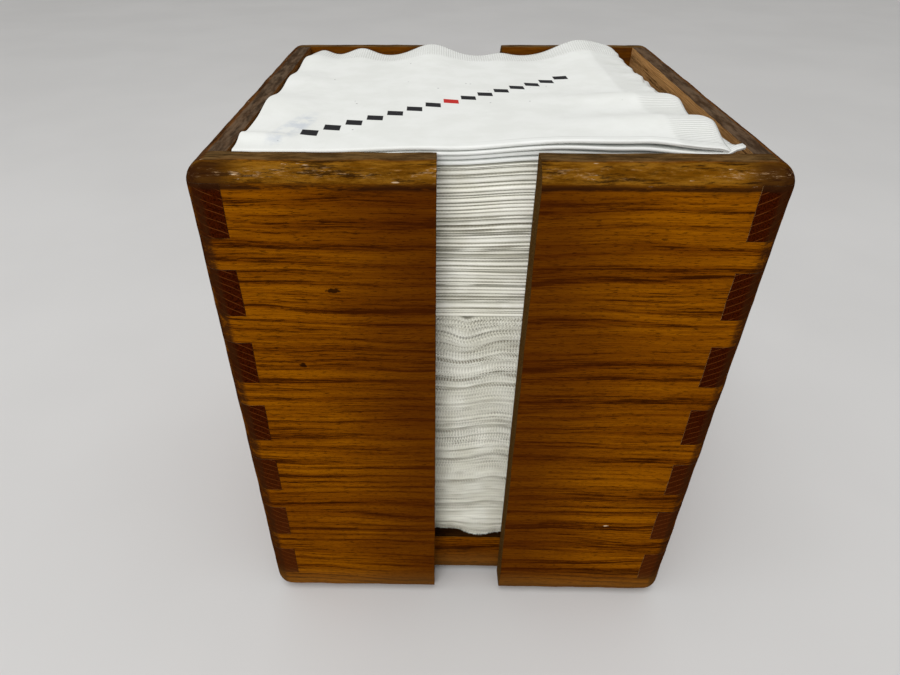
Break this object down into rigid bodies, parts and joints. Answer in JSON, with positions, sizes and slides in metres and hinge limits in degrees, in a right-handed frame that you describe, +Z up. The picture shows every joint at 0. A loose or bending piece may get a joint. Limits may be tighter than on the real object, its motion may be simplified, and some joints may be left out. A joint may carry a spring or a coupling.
{
  "type": "napkin dispenser",
  "caption": "Open-topped finger-jointed wooden box with full-height slots in its front and back, filled with a stack of folded paper napkins.",
  "frame": {"origin": "under the middle of the box, on the surface that it stands on", "axes": "+Z up, -Y out of the front slot, +X to the right as seen from the front"},
  "size_m": [0.154, 0.147, 0.1808],
  "materials": {
    "oak_wall": "satin",
    "oak_side": "satin",
    "oak_base": "satin",
    "brad": "satin",
    "tissue": "matte"
  },
  "bodies": {
    "box": {"front_left_board": "oak_wall", "front_right_board": "oak_wall", "back_left_board": "oak_wall", "back_right_board": "oak_wall", "left_side_board": "oak_side", "right_side_board": "oak_side", "base_board": "oak_base", "left_front_brad": "brad", "left_back_brad": "brad", "right_front_brad": "brad", "right_back_brad": "brad"},
    "lower_pack": {"lower_napkins_1": "tissue", "lower_napkins_2": "tissue", "lower_napkins_3": "tissue", "lower_napkins_4": "tissue", "lower_napkins_5": "tissue", "lower_napkins_6": "tissue", "lower_napkins_7": "tissue", "lower_napkins_8": "tissue", "lower_napkins_9": "tissue"},
    "upper_pack": {"upper_napkins_1": "tissue", "upper_napkins_2": "tissue", "upper_napkins_3": "tissue", "upper_napkins_4": "tissue", "upper_napkins_5": "tissue", "upper_napkins_6": "tissue", "upper_napkins_7": "tissue", "upper_napkins_8": "tissue", "upper_napkins_9": "tissue"},
    "loose_napkins": {"loose_napkin_1": "tissue", "loose_napkin_2": "tissue", "loose_napkin_3": "tissue"},
    "top_napkin": {"top_napkin": "tissue"}
  },
  "joints": [
    {"name": "lower_pack_lift", "type": "slide", "parent": "box", "child": "lower_pack", "axis": [0, 0, 1], "range_m": [0, 0.165]},
    {"name": "upper_pack_lift", "type": "slide", "parent": "lower_pack", "child": "upper_pack", "axis": [0, 0, 1], "range_m": [0, 0.06]},
    {"name": "loose_napkins_lift", "type": "slide", "parent": "upper_pack", "child": "loose_napkins", "axis": [0, 0, 1], "range_m": [0, 0.03]},
    {"name": "top_napkin_lift", "type": "slide", "parent": "loose_napkins", "child": "top_napkin", "axis": [0, 0, 1], "range_m": [0, 0.03]}
  ]
}
